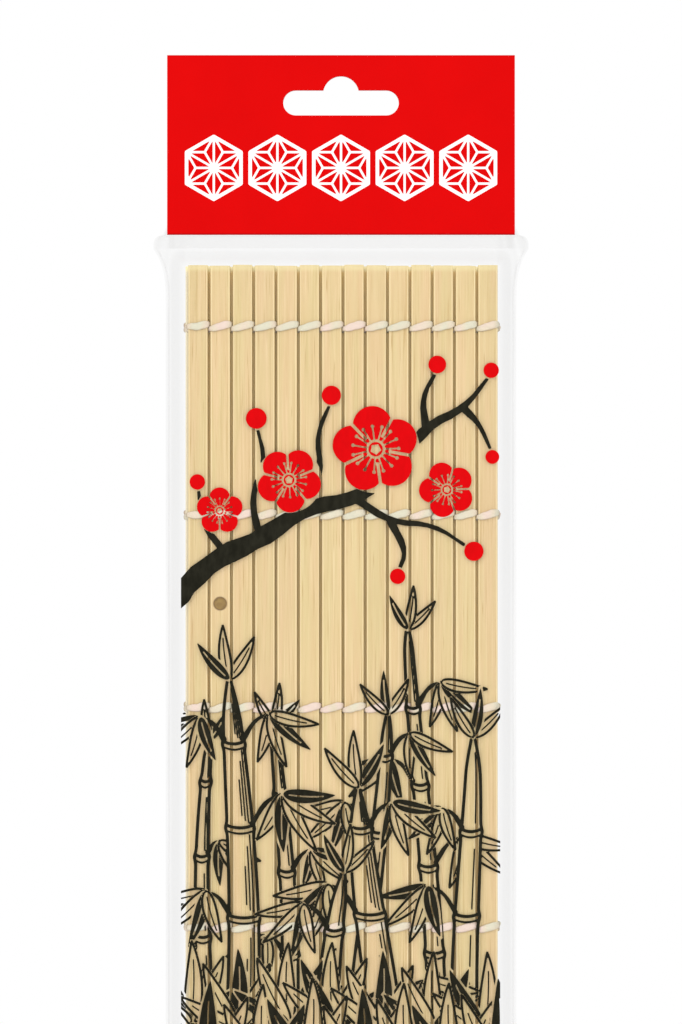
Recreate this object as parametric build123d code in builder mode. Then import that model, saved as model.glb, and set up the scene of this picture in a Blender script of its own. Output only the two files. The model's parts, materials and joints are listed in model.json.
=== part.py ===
from build123d import *
from math import atan2, tan
import os

# A bamboo sushi rolling mat, folded in three and hung in a clear bag under a folded card.
# Millimetres. X runs across the front, the front faces -Y and Z is up.
# The origin is the top of the hang slot, in the middle of the card's thickness.

# Mat
COLUMNS = 14
LAYERS = 3
SLAT_LENGTH = 240.0
SLAT_WIDTH = 5.15
SLAT_THICKNESS = 2.0
SLAT_GAP = 0.65
SLAT_CROWN = 0.35
SLAT_EDGE_CUT = 0.25
SLAT_WIDTH_SPREAD = 0.12
SLAT_END_SPREAD = 0.35
WIDTH_TURN_SHARE = 0.618
TOP_TURN_SHARE = 0.382
BOTTOM_TURN_SHARE = 0.724
MAT_DROP = 8.1  # from the card's lower edge to the mat
MAT_SHIFT = 0.5  # the mat lies this far to the right in its bag
FOLD_SLIP = 0.8  # the middle layer lies this far to the left of the others

# Round brown eye in one slat, a shallow hole
EYE_SLAT = 2
EYE_DIAMETER = 3.4
EYE_DEPTH = 0.8
EYE_DROP = 88.1  # below the top of the mat

# Threads
THREAD_WIDTH = 1.4
THREAD_THICKNESS = 0.6
CROSSING_GAP = 0.1  # between the two strands where they cross
LOOP_LAP = 0.4
THREAD_CLEARANCE = 0.05
LAYER_CLEARANCE = 0.1
COURSE_DROP_SHARES = (0.067, 0.271, 0.480, 0.718, 0.931)
KNOT_DIAMETER = 1.6
KNOT_LENGTH = 1.0
KNOT_EDGE_CUT = 0.2

# Card
CARD_SIDE_MARGIN = 0.2  # by which each side of the bag beside the mat passes the card
CARD_HEIGHT = 46.9
CARD_THICKNESS = 0.4
CARD_CLEARANCE = 0.05
SLOT_DROP = 5.5  # from the card's top edge to the top of the slot
SLOT_WIDTH = 30.2
SLOT_HEIGHT = 6.6
BUMP_DIAMETER = 9.4
BUMP_RISE = 3.7

# Bag
FILM_WALL = 0.15
FILM_CLEARANCE = 0.1
SIDE_ROOM = 1.7  # from the mat's edge to the fold of the film beside it
SIDE_SLOPE = 2.5
SIDE_SEAL = 1.1
SIDE_FLARE = 3.4  # by which the empty bag is wider at each side than round the mat
BAG_END_CLEARANCE = 0.4
BAND_HEIGHT = 3.4
EAR_RADIUS = 2.4
MOUTH_MARGIN = 1.4
MOUTH_INSET = 24.0
FLARE_LENGTH = 12.0
TAIL_LENGTH = 6.6
SEAL_HEIGHT = 5.0
TOP_FLARE_SHARE = 0.5
MIDDLE_FLARE_SHARE = 0.16
LOWER_FLARE_SHARE = 0.3
MIDDLE_REACH_SHARE = 0.4

CUT_OVERRUN = 1.0

# Worked out from the sizes above
slats = COLUMNS * LAYERS
slat_pitch = SLAT_WIDTH + SLAT_GAP
thread_height = SLAT_THICKNESS / 2 + THREAD_CLEARANCE + THREAD_THICKNESS / 2
layer_pitch = SLAT_THICKNESS + 2 * (THREAD_CLEARANCE + THREAD_THICKNESS) + LAYER_CLEARANCE
mat_half_width = (COLUMNS * slat_pitch - SLAT_GAP) / 2
mat_half_depth = (LAYERS - 1) / 2 * layer_pitch + thread_height + THREAD_THICKNESS / 2
card_top = SLOT_DROP
card_bottom = card_top - CARD_HEIGHT
mat_top = card_bottom - MAT_DROP
mat_bottom = mat_top - SLAT_LENGTH
bag_shoulder = mat_half_width + SIDE_ROOM
bag_foot = bag_shoulder + SIDE_SLOPE
bag_edge = bag_foot + SIDE_SEAL
bag_half_width = bag_edge + SIDE_FLARE
card_half_width = bag_edge - CARD_SIDE_MARGIN


def layer_x(layer):
    """Middle of a layer of slats, counted from 0 at the front."""
    return MAT_SHIFT - FOLD_SLIP * (layer % 2)


def layer_y(layer):
    """How far back the middle of a layer lies."""
    return (layer - (LAYERS - 1) / 2) * layer_pitch


def slat_x(column, layer):
    """Middle of a slat, in a column counted from 1 at the left."""
    return layer_x(layer) + (column - (COLUMNS + 1) / 2) * slat_pitch


def place(slat):
    """Column, layer and way of travel of a slat, which turns back at each fold."""
    layer, step = divmod(slat - 1, COLUMNS)
    travel = 1 if layer % 2 == 0 else -1
    column = step + 1 if travel > 0 else COLUMNS - step
    return column, layer, travel


def uneven(slat, turn_share):
    """A share between 0 and 1 that differs from slat to slat, as in split bamboo."""
    return slat * turn_share % 1


def thread_y(slat, side):
    """Middle of a strand on a slat's bark face (side 1) or inner face (side -1)."""
    _, layer, travel = place(slat)
    return layer_y(layer) - travel * side * thread_height


# Slats, split bamboo with a crowned bark face and eased edges
slat_parts = []
for number in range(1, slats + 1):
    column, layer, travel = place(number)
    half_width = (SLAT_WIDTH - SLAT_WIDTH_SPREAD * uneven(number, WIDTH_TURN_SHARE)) / 2
    top = mat_top - SLAT_END_SPREAD * uneven(number, TOP_TURN_SHARE)
    bottom = mat_bottom + SLAT_END_SPREAD * uneven(number, BOTTOM_TURN_SHARE)
    bark = -travel * SLAT_THICKNESS / 2
    shoulder = -travel * (SLAT_THICKNESS / 2 - SLAT_CROWN)
    middle = Vector(slat_x(column, layer), layer_y(layer), top)
    with BuildPart() as slat:
        with BuildSketch(Plane(middle, x_dir=(1, 0, 0), z_dir=(0, 0, 1))):
            with BuildLine():
                Polyline(
                    (half_width, shoulder),
                    (half_width, -bark),
                    (-half_width, -bark),
                    (-half_width, shoulder),
                )
                ThreePointArc((-half_width, shoulder), (0, bark), (half_width, shoulder))
            section = make_face()
            chamfer(section.vertices(), SLAT_EDGE_CUT)
        extrude(amount=bottom - top)
        if number == EYE_SLAT:
            eye_z = mat_top - EYE_DROP
            front = layer_y(layer) + bark
            with BuildSketch(Plane.XZ.offset(-front)):
                with Locations((slat_x(column, layer), eye_z)):
                    Circle(EYE_DIAMETER / 2)
            extrude(amount=-EYE_DEPTH, mode=Mode.SUBTRACT)
    slat.part.label = f"slat_{number:02d}"
    slat_parts.append(slat.part)


# Threads: two strands twined round the slats, trading faces in each gap and at each fold
side_x = mat_half_width + SLAT_GAP / 2
knot_x = layer_x(LAYERS - 1) + mat_half_width + THREAD_CLEARANCE + KNOT_DIAMETER / 2
knot_y = layer_y(LAYERS - 1)


def turn_x(layer, way):
    """Where the strands turn at the end of a layer, outside both slats of the fold."""
    layers = [layer, layer + 1] if layer + 1 < LAYERS else [layer]
    return way * max(side_x + way * layer_x(each) for each in layers)


def strand_route(first_side):
    """Square corners of a strand's way past the slats, seen from above."""
    front = layer_y(0)
    lap = LOOP_LAP / 2 if thread_y(1, first_side) < front else -LOOP_LAP / 2
    start_x = layer_x(0) - side_x
    route = [(start_x, front + lap)]
    side = first_side
    for number in range(1, slats + 1):
        column, layer, travel = place(number)
        x = slat_x(column, layer)
        y = thread_y(number, side)
        last = number % COLUMNS == 0
        end_x = turn_x(layer, travel) if last else x + travel * slat_pitch / 2
        route.append((start_x, y))
        route.append((end_x, y))
        start_x = end_x
        side = -side
    knot_face = KNOT_LENGTH / 2 + THREAD_CLEARANCE
    route.append((end_x, knot_y + (knot_face if y > knot_y else -knot_face)))
    return route


def band_outline(route, width):
    """Outline of a band of even width along a route whose corners are all square."""
    left, right = [], []
    for i, (x, y) in enumerate(route):
        here = Vector(x, y)
        ways = []
        if i > 0:
            ways.append((here - Vector(*route[i - 1])).normalized())
        if i < len(route) - 1:
            ways.append((Vector(*route[i + 1]) - here).normalized())
        across = Vector(0, 0)
        for direction in ways:
            across += Vector(-direction.Y, direction.X) * (width / 2)
        left.append(here + across)
        right.append(here - across)
    return left + right[::-1]


def strand_height_outline(first_side, layer):
    """Outline of a strand in one layer seen from the front, slanting from gap to gap."""
    upper, lower = [], []
    offset = (THREAD_WIDTH + CROSSING_GAP) / 2
    for gap in range(COLUMNS + 1):
        x = layer_x(layer) - side_x + gap * slat_pitch
        # a strand crosses high where it leaves the bark face and low where it comes back
        z = first_side * offset * (1 if gap % 2 else -1)
        ends = [x - THREAD_THICKNESS / 2, x + THREAD_THICKNESS / 2]
        if gap == 0:
            ends[0] -= FOLD_SLIP
        if gap == COLUMNS:
            ends[1] += FOLD_SLIP
        for end in ends:
            upper.append((end, z + THREAD_WIDTH / 2))
            lower.append((end, z - THREAD_WIDTH / 2))
    return upper + lower[::-1]


strand_parts = {}
for name, first_side in (("a", 1), ("b", -1)):
    with BuildPart() as slant:
        for layer in range(LAYERS):
            with BuildSketch(Plane.XZ.offset(-layer_y(layer))):
                with BuildLine():
                    Polyline(*strand_height_outline(first_side, layer), close=True)
                make_face()
            extrude(amount=layer_pitch / 2, both=True)
    with BuildPart() as strand:
        with BuildSketch(Plane.XY):
            with BuildLine():
                Polyline(*band_outline(strand_route(first_side), THREAD_THICKNESS), close=True)
            make_face()
        extrude(amount=2 * THREAD_WIDTH, both=True)
        add(slant.part, mode=Mode.INTERSECT)
    strand_parts[name] = strand.part

thread_parts = []
for course, share in enumerate(COURSE_DROP_SHARES, 1):
    for name, part in strand_parts.items():
        with BuildPart() as thread:
            with Locations((0, 0, mat_top - share * SLAT_LENGTH)):
                add(part)
        thread.part.label = f"thread_{course}{name}"
        thread_parts.append(thread.part)

with BuildPart() as thread_knots:
    for share in COURSE_DROP_SHARES:
        knot_z = mat_top - share * SLAT_LENGTH
        knot_start = knot_y - KNOT_LENGTH / 2
        with BuildSketch(Plane((knot_x, knot_start, knot_z), x_dir=(1, 0, 0), z_dir=(0, 1, 0))):
            RegularPolygon(KNOT_DIAMETER / 2, side_count=8)
        extrude(amount=KNOT_LENGTH)
    chamfer(thread_knots.faces().filter_by(Axis.Y).edges(), KNOT_EDGE_CUT)
thread_knots.part.label = "thread_knots"


# Header card, folded at its top over the mouth of the bag
card_inside = FILM_WALL + CARD_CLEARANCE
card_outside = card_inside + CARD_THICKNESS
fold_z = card_top - card_outside
slot_z = -BUMP_RISE - SLOT_HEIGHT / 2
bump_z = -BUMP_DIAMETER / 2

with BuildPart() as header_card:
    with BuildSketch(Plane.YZ):
        with BuildLine():
            CenterArc((0, fold_z), card_outside, 0, 180)
            Polyline(
                (-card_outside, fold_z),
                (-card_outside, card_bottom),
                (-card_inside, card_bottom),
                (-card_inside, fold_z),
            )
            CenterArc((0, fold_z), card_inside, 0, 180)
            Polyline(
                (card_inside, fold_z),
                (card_inside, card_bottom),
                (card_outside, card_bottom),
                (card_outside, fold_z),
            )
        make_face()
    extrude(amount=card_half_width, both=True)
    with BuildSketch(Plane.XZ):
        with Locations((0, slot_z)):
            SlotOverall(SLOT_WIDTH, SLOT_HEIGHT)
        with Locations((0, bump_z)):
            Circle(BUMP_DIAMETER / 2)
    extrude(amount=card_outside + CUT_OVERRUN, both=True, mode=Mode.SUBTRACT)
header_card.part.label = "header_card"


# Bag: two webs of film, welded along the sides and the bottom, flat again in the card
bag_height = mat_half_depth + FILM_CLEARANCE
flat_top = card_bottom - BAND_HEIGHT
full_top = mat_top + BAG_END_CLEARANCE
full_bottom = mat_bottom - BAG_END_CLEARANCE
flat_bottom = full_bottom - TAIL_LENGTH
bag_stations = (
    (flat_bottom - SEAL_HEIGHT, 1, 0),
    (flat_bottom, 1, 0),
    (full_bottom, LOWER_FLARE_SHARE, bag_height),
    (full_bottom + FLARE_LENGTH, 0, bag_height),
    (full_top - FLARE_LENGTH, 0, bag_height),
    (full_top - FLARE_LENGTH * MIDDLE_REACH_SHARE, MIDDLE_FLARE_SHARE, bag_height),
    (full_top, TOP_FLARE_SHARE, bag_height),
    (flat_top, 1, 0),
)


def web_outline(half_width, height):
    """Corners of a level cut through a web that bulges to +Y."""
    spread = FILM_WALL * tan(atan2(height, SIDE_SLOPE) / 2)
    inner = [
        (-half_width, 0),
        (-bag_foot, 0),
        (-bag_shoulder, height),
        (bag_shoulder, height),
        (bag_foot, 0),
        (half_width, 0),
    ]
    outer = [
        (half_width, FILM_WALL),
        (bag_foot + spread, FILM_WALL),
        (bag_shoulder + spread, height + FILM_WALL),
        (-bag_shoulder - spread, height + FILM_WALL),
        (-bag_foot - spread, FILM_WALL),
        (-half_width, FILM_WALL),
    ]
    return inner + outer


def bag_web(side):
    """One web of the bag, in front (side -1) or behind (side 1)."""
    with BuildPart() as web:
        cuts = []
        for z, flare, height in bag_stations:
            outline = web_outline(bag_edge + flare * SIDE_FLARE, height)
            corners = [(x, side * y, z) for x, y in outline]
            cuts.append(Face(Wire.make_polygon(corners)))
        loft(cuts, ruled=True)
        with BuildSketch(Plane.XZ) as flat_web:
            with Locations((0, (flat_top + card_bottom) / 2)):
                Rectangle(2 * bag_half_width, BAND_HEIGHT)
            ears = flat_web.vertices().group_by(Axis.Y)[-1]
            fillet(ears, EAR_RADIUS)
            mouth_height = BAND_HEIGHT + MOUTH_INSET
            with Locations((0, flat_top + mouth_height / 2)):
                Rectangle(2 * (card_half_width - MOUTH_MARGIN), mouth_height)
        extrude(amount=-side * FILM_WALL)
    return web.part


bag_front_film = bag_web(-1)
bag_front_film.label = "bag_front_film"
bag_back_film = bag_web(1)
bag_back_film.label = "bag_back_film"


# Print the folded mat's width and the bag's depth, then write the parts
print("slats", slats, "mat width", 2 * mat_half_width, "bag depth", 2 * (bag_height + FILM_WALL))

os.makedirs("parts", exist_ok=True)
for part in slat_parts + thread_parts:
    export_step(part, f"parts/{part.label}.step")
export_step(thread_knots.part, "parts/thread_knots.step")
export_step(header_card.part, "parts/header_card.step")
export_step(bag_front_film, "parts/bag_front_film.step")
export_step(bag_back_film, "parts/bag_back_film.step")
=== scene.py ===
import json
from math import cos, hypot, pi, radians, sin, sqrt

import bmesh
import bpy
import numpy as np
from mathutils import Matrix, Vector, noise


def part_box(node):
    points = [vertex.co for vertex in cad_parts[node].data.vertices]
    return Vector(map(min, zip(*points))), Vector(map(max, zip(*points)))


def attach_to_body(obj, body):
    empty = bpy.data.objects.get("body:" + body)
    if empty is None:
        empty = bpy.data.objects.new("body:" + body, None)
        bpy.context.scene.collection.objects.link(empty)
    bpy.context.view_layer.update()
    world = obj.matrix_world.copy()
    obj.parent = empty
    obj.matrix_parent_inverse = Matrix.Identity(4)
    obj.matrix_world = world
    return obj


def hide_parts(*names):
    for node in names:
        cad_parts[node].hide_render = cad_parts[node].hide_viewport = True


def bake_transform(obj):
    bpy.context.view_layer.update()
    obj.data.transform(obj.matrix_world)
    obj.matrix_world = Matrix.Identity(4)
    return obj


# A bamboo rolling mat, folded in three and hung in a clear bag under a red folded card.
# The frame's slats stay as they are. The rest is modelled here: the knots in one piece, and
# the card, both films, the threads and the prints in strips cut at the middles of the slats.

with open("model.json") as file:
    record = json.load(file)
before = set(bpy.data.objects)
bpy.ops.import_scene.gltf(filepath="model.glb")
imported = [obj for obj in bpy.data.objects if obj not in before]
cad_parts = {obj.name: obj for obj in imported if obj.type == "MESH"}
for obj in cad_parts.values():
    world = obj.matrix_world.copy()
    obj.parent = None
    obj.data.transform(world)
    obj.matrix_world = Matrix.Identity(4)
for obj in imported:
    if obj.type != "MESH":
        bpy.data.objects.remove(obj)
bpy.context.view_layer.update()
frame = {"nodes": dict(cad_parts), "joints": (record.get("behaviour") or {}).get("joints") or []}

MM = 0.001
X, Y, Z = range(3)
COLUMNS = 14
COURSES = 5
THREAD_NODES = [f"thread_{course}{name}" for course in range(1, COURSES + 1) for name in "ab"]


def box_middle(node, axis):
    low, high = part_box(node)
    return (low[axis] + high[axis]) / 2


# Where the frame's pieces are, in metres
gap_x = sorted(joint["pos_m"][X] for joint in frame["joints"])
PITCH = gap_x[1] - gap_x[0]
mid_x = [gap_x[0] - PITCH / 2] + [x + PITCH / 2 for x in gap_x]
MAT_MIDDLE = (mid_x[0] + mid_x[-1]) / 2
slat_low, slat_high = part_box("slat_01")
card_low, card_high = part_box("header_card")
film_low, film_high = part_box("bag_front_film")
course_z = [box_middle(f"thread_{number}a", Z) for number in range(1, COURSES + 1)]
layer_y = [box_middle(node, Y) for node in ("slat_02", "slat_16", "slat_30")]
layer_shift = [0, box_middle("slat_15", X) - mid_x[-1], 0]
knot_x, knot_y = box_middle("thread_knots", X), box_middle("thread_knots", Y)
MAT_TOP = slat_high.z
MAT_BOTTOM = slat_low.z
CARD_BOTTOM = card_low.z

# How far either side of a gap the card gets extra cuts
BEND_REACH = 2.0 * MM


def smooth(low, high, value):
    """0 before low, 1 past high and a soft step between them, also with low above high."""
    share = min(max((value - low) / (high - low), 0), 1)
    return share * share * (3 - 2 * share)


def ripple(*place):
    """Smooth noise between about -1 and 1 at a place."""
    return noise.noise(Vector(place))


def column(number):
    return f"column_{number:02d}"


def strip_edges(strip):
    """Where a strip starts and ends across the mat, with None for the open outer side."""
    left = mid_x[strip - 1] if strip > 0 else None
    right = mid_x[strip] if strip < COLUMNS else None
    return left, right


def attach(piece, strip, nodes=()):
    """The outer strips ride on the outer columns, and the others stay where they are."""
    if strip == 0:
        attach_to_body(piece, column(1))
    elif strip == COLUMNS:
        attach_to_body(piece, column(COLUMNS))
    else:
        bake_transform(piece)
    if nodes:
        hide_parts(*nodes)


def link(name, data):
    """A new object in the scene that shows a mesh, light or camera."""
    thing = bpy.data.objects.new(name, data)
    bpy.context.scene.collection.objects.link(thing)
    return thing


def keep_rest(mesh, points):
    """Stores the points at rest in a mesh, so that its textures bend along with it."""
    rest = mesh.attributes.new("rest", "FLOAT_VECTOR", "POINT")
    rest.data.foreach_set("vector", np.array(points, np.float32).ravel())


def make_piece(name, points, faces, material, shares=None):
    """A smooth mesh, with a share for each point where its material reads one."""
    mesh = bpy.data.meshes.new(name)
    mesh.from_pydata([tuple(p) for p in points], [], faces)
    mesh.materials.append(material)
    keep_rest(mesh, points)
    if shares is not None:
        attribute = mesh.attributes.new("share", "FLOAT", "POINT")
        attribute.data.foreach_set("value", np.array(shares, np.float32))
    mesh.shade_smooth()
    return link(name, mesh)


# Materials


class Nodes:
    """Short ways to add and join the nodes of one material."""

    def __init__(self, name):
        self.material = bpy.data.materials.new(name)
        self.material.use_nodes = True
        self.tree = self.material.node_tree
        self.shader = self.tree.nodes["Principled BSDF"]

    def add(self, kind, **settings):
        node = self.tree.nodes.new(kind)
        for key, value in settings.items():
            setattr(node, key, value)
        return node

    def feed(self, socket, value):
        """Sets a socket to a number or a colour, or joins another node's output to it."""
        if isinstance(value, tuple):
            socket.default_value = (*value, 1.0)
        elif isinstance(value, (int, float)):
            socket.default_value = value
        else:
            self.tree.links.new(value, socket)

    def set(self, **values):
        """Feeds the shader's own sockets."""
        for key, value in values.items():
            self.feed(self.shader.inputs[key.replace("_", " ")], value)

    def rest(self):
        """The place of a point before the piece bends."""
        return self.add("ShaderNodeAttribute", attribute_name="rest").outputs["Vector"]

    def share(self):
        return self.add("ShaderNodeAttribute", attribute_name="share").outputs["Fac"]

    def own(self):
        """The place of a point in the object's own coordinates."""
        return self.add("ShaderNodeTexCoord").outputs["Object"]

    def split(self, place):
        node = self.add("ShaderNodeSeparateXYZ")
        self.feed(node.inputs["Vector"], place)
        return node.outputs["X"], node.outputs["Y"], node.outputs["Z"]

    def noise(self, place, scale, detail=2.0, roughness=0.5):
        """Noise with its own number of features to the metre along each axis."""
        mapping = self.add("ShaderNodeMapping")
        mapping.inputs["Scale"].default_value = scale
        self.feed(mapping.inputs["Vector"], place)
        texture = self.add("ShaderNodeTexNoise")
        settings = {"Scale": 1.0, "Detail": detail, "Roughness": roughness}
        for key, value in {"Vector": mapping.outputs["Vector"], **settings}.items():
            self.feed(texture.inputs[key], value)
        return texture.outputs["Fac"]

    def math(self, operation, *values):
        node = self.add("ShaderNodeMath", operation=operation)
        for socket, value in zip(node.inputs, values):
            self.feed(socket, value)
        return node.outputs[0]

    def plus(self, first, second):
        return self.math("ADD", first, second)

    def minus(self, first, second):
        return self.math("SUBTRACT", first, second)

    def times(self, first, second):
        return self.math("MULTIPLY", first, second)

    def away(self, first, second):
        """How far two values are from each other."""
        return self.math("ABSOLUTE", self.minus(first, second))

    def range(self, value, low, high, new_low=0.0, new_high=1.0, soft=False):
        node = self.add("ShaderNodeMapRange", interpolation_type="SMOOTHSTEP" if soft else "LINEAR")
        for socket, number in zip(node.inputs, (value, low, high, new_low, new_high)):
            self.feed(socket, number)
        return node.outputs["Result"]

    def ramp(self, value, *stops):
        node = self.add("ShaderNodeValToRGB")
        ramp = node.color_ramp
        while len(ramp.elements) < len(stops):
            ramp.elements.new(1.0)
        for element, (place, colour) in zip(ramp.elements, stops):
            element.position = place
            element.color = (*colour, 1.0)
        self.feed(node.inputs["Fac"], value)
        return node.outputs["Color"]

    def mix(self, share, first, second, kind="MIX"):
        node = self.add("ShaderNodeMix", data_type="RGBA", blend_type=kind)
        for number, value in ((0, share), (6, first), (7, second)):
            self.feed(node.inputs[number], value)
        return node.outputs[2]

    def dimmed(self, colour, factor):
        node = self.add("ShaderNodeVectorMath", operation="SCALE")
        self.feed(node.inputs[0], colour)
        self.feed(node.inputs["Scale"], factor)
        return node.outputs["Vector"]

    def bump(self, height, strength, distance):
        node = self.add("ShaderNodeBump")
        self.feed(node.inputs["Strength"], strength)
        self.feed(node.inputs["Distance"], distance)
        self.feed(node.inputs["Height"], height)
        self.set(Normal=node.outputs["Normal"])


# Where the tones of the bamboo change, from the mat's middle, a slat's middle and its ends
OPEN_SIDE = (38.2 * MM, 39.4 * MM)
SLIVER = (40.3 * MM, 40.5 * MM)
EDGE_SHARE = 2.5 * MM / PITCH
END_REACH = 2.0 * MM
END_FULL = 0.7 * MM
FACE_DEPTH = (layer_y[2] + 0.35 * MM, layer_y[2] + 0.6 * MM)
# Above the count of columns, so that no two slats share a seed
LAYER_SEEDS = 37.0
EYE_RIM = (0.05 * MM, 0.30 * MM)
CARD_RIM = (CARD_BOTTOM + 0.15 * MM, CARD_BOTTOM + 0.45 * MM)

VEIN_BROWN = (0.40, 0.255, 0.090)
SLIVER_PALE = (0.88, 0.84, 0.66)
PAINTED_EDGE_HIGHLIGHT = (0.80, 0.67, 0.40)
FACE_END = (0.66, 0.57, 0.30)
SIDE_END = (0.86, 0.76, 0.44)
EYE_RIM_BROWN = (0.22, 0.13, 0.05)
PAINTED_SHADE_BROWN = (0.29, 0.18, 0.075)
CARD_RIM_RED = (0.30, 0.0004, 0.0008)


def slat_tone(nodes, x, y, depth):
    """A random value for each slat, and the distance from its middle in pitches."""
    layer = nodes.math("ROUND", nodes.times(y, 1 / (layer_y[2] - layer_y[1])))
    slip = nodes.times(nodes.math("LESS_THAN", depth, layer_y[2] / 2), layer_shift[1])
    steps = nodes.minus(nodes.minus(x, slip), mid_x[0] - PITCH / 2)
    steps = nodes.math("DIVIDE", steps, PITCH)
    tone = nodes.add("ShaderNodeTexWhiteNoise", noise_dimensions="1D")
    seed = nodes.plus(nodes.math("FLOOR", steps), nodes.times(layer, LAYER_SEEDS))
    nodes.feed(tone.inputs["W"], seed)
    return tone.outputs["Value"], nodes.away(nodes.math("FRACT", steps), 0.5)


def bamboo_grain(nodes, place):
    """The fine straight grain, and the share of the thin brown veins in it."""
    fibre = nodes.noise(place, (3600, 900, 75), 3.0, 0.6)
    streak = nodes.noise(place, (1900, 400, 38))
    line = nodes.away(nodes.noise(place, (2100, 300, 20), 1.0), 0.5)
    line = nodes.range(line, 0.0, 0.04, 1.0, 0.0, soft=True)
    vein = nodes.times(line, nodes.range(streak, 0.40, 0.55, 0.0, 0.7))
    return nodes.plus(nodes.times(fibre, 0.5), nodes.times(streak, 0.5)), vein


def bamboo_eye(nodes, colour, place, eye):
    """A brown eye of the bamboo with a dark rim, over a colour."""
    eye_x, eye_z, radius = eye
    x, _, z = nodes.split(place)
    dx = nodes.math("POWER", nodes.minus(x, eye_x), 2.0)
    dz = nodes.math("POWER", nodes.minus(z, eye_z), 2.0)
    away = nodes.math("SQRT", nodes.plus(dx, dz))
    worn = nodes.noise(place, (900, 900, 900), 3.0, 0.6)
    brown = nodes.ramp(worn, (0.3, (0.195, 0.110, 0.022)), (0.7, (0.320, 0.200, 0.046)))
    rim = nodes.range(nodes.away(away, radius), *EYE_RIM, 1.0, 0.0, soft=True)
    colour = nodes.mix(nodes.range(away, radius * 1.02, radius * 0.98), colour, brown)
    return nodes.mix(nodes.times(rim, 0.7), colour, EYE_RIM_BROWN)


def bamboo_material(name, eye=None):
    """Split bamboo: fine straight grain along the slat, painted light on its edges, ends and inner
    layers, a tone per slat.
    """
    nodes = Nodes(name)
    place = nodes.own()
    x, y, z = nodes.split(place)
    depth = nodes.math("ABSOLUTE", y)
    tone, across = slat_tone(nodes, x, y, depth)
    grain, vein = bamboo_grain(nodes, place)
    colour = nodes.ramp(
        grain,
        (0.30, (0.520, 0.380, 0.176)),
        (0.44, (0.568, 0.428, 0.217)),
        (0.56, (0.592, 0.452, 0.235)),
        (0.72, (0.634, 0.502, 0.284)),
    )
    cloud = nodes.noise(place, (330, 120, 24))
    tint = nodes.ramp(cloud, (0.36, (1.0, 0.955, 0.985)), (0.64, (0.955, 0.985, 0.945)))
    colour = nodes.mix(1.0, colour, tint, "MULTIPLY")
    colour = nodes.mix(vein, colour, VEIN_BROWN)
    colour = nodes.dimmed(colour, nodes.range(tone, 0, 1, 0.995, 1.03))
    face = nodes.range(depth, *FACE_DEPTH)
    beside = nodes.away(x, MAT_MIDDLE)
    open_side = nodes.range(beside, *OPEN_SIDE)
    # Painted light: the inner layers get a brighter, warmer colour than the front, so the shaded
    # gaps between the slats read lighter; the open sides keep the front's colour.
    deep = nodes.ramp(grain, (0.30, (0.66, 0.455, 0.155)), (0.72, (0.76, 0.560, 0.240)))
    colour = nodes.mix(nodes.math("MAXIMUM", face, open_side), deep, colour)
    colour = nodes.mix(nodes.range(beside, *SLIVER, 0.0, 0.6), colour, SLIVER_PALE)
    # Painted highlight: a pale line along both edges of each front slat.
    edge = nodes.range(across, EDGE_SHARE - 0.075, EDGE_SHARE - 0.03, soft=True)
    colour = nodes.mix(nodes.times(nodes.times(edge, face), 0.75), colour, PAINTED_EDGE_HIGHLIGHT)
    # Painted highlight: lighter towards the top and bottom ends of the slats, for the glare of the
    # film over them, lighter still on the inner layers.
    ends = nodes.math(
        "MAXIMUM",
        nodes.range(z, MAT_TOP - END_REACH, MAT_TOP - END_FULL, soft=True),
        nodes.range(z, MAT_BOTTOM + END_REACH, MAT_BOTTOM, soft=True),
    )
    end_colour = nodes.mix(face, SIDE_END, FACE_END)
    colour = nodes.mix(nodes.times(ends, nodes.range(face, 0, 1, 0.95, 0.6)), colour, end_colour)
    if eye is not None:
        colour = bamboo_eye(nodes, colour, place, eye)
    roughness = nodes.range(grain, 0.3, 0.7, 0.52, 0.38)
    nodes.set(Base_Color=colour, Roughness=roughness, Specular_IOR_Level=0.22)
    nodes.bump(grain, 0.35, 0.05 * MM)
    return nodes.material


def thread_material():
    """Undyed twisted cotton with fine fibres and soft tints, with painted shade below and in the
    gaps.
    """
    nodes = Nodes("cotton_thread")
    place = nodes.rest()
    colour = nodes.ramp(
        nodes.noise(place, (190, 110, 90), 1.0),
        (0.38, (0.600, 0.570, 0.440)),
        (0.50, (0.640, 0.555, 0.420)),
        (0.62, (0.680, 0.545, 0.465)),
    )
    # Painted shade: a dark brown along the yarn's lower edge and where it dives into the gaps.
    colour = nodes.mix(nodes.times(nodes.share(), 0.5), colour, PAINTED_SHADE_BROWN)
    fibre = nodes.noise(place, (2600, 2600, 9000), 3.0, 0.65)
    nodes.set(Base_Color=nodes.dimmed(colour, nodes.range(fibre, 0.3, 0.7, 0.84, 1.06)))
    nodes.set(Roughness=0.85, Specular_IOR_Level=0.15, Sheen_Weight=0.1, Sheen_Roughness=0.5)
    nodes.bump(fibre, 0.5, 0.06 * MM)
    return nodes.material


def card_material():
    """Red ink on coated card, with the faint tooth of the paper."""
    nodes = Nodes("red_card")
    place = nodes.rest()
    tooth = nodes.noise(place, (4200, 4200, 4200), 3.0, 0.6)
    cloud = nodes.noise(place, (60, 60, 60))
    colour = nodes.ramp(
        nodes.plus(nodes.times(tooth, 0.35), nodes.times(cloud, 0.65)),
        (0.30, (0.515, 0.0004, 0.0006)),
        (0.70, (0.560, 0.0006, 0.0008)),
    )
    # Painted shade: a darker red along the card's lower edge.
    rim = nodes.range(nodes.split(place)[Z], *CARD_RIM, 0.75, 0.0, soft=True)
    colour = nodes.mix(rim, colour, CARD_RIM_RED)
    roughness = nodes.range(tooth, 0.3, 0.7, 0.42, 0.52)
    nodes.set(Base_Color=colour, Roughness=roughness, Specular_IOR_Level=0.02)
    nodes.bump(tooth, 0.12, 0.02 * MM)
    return nodes.material


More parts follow.
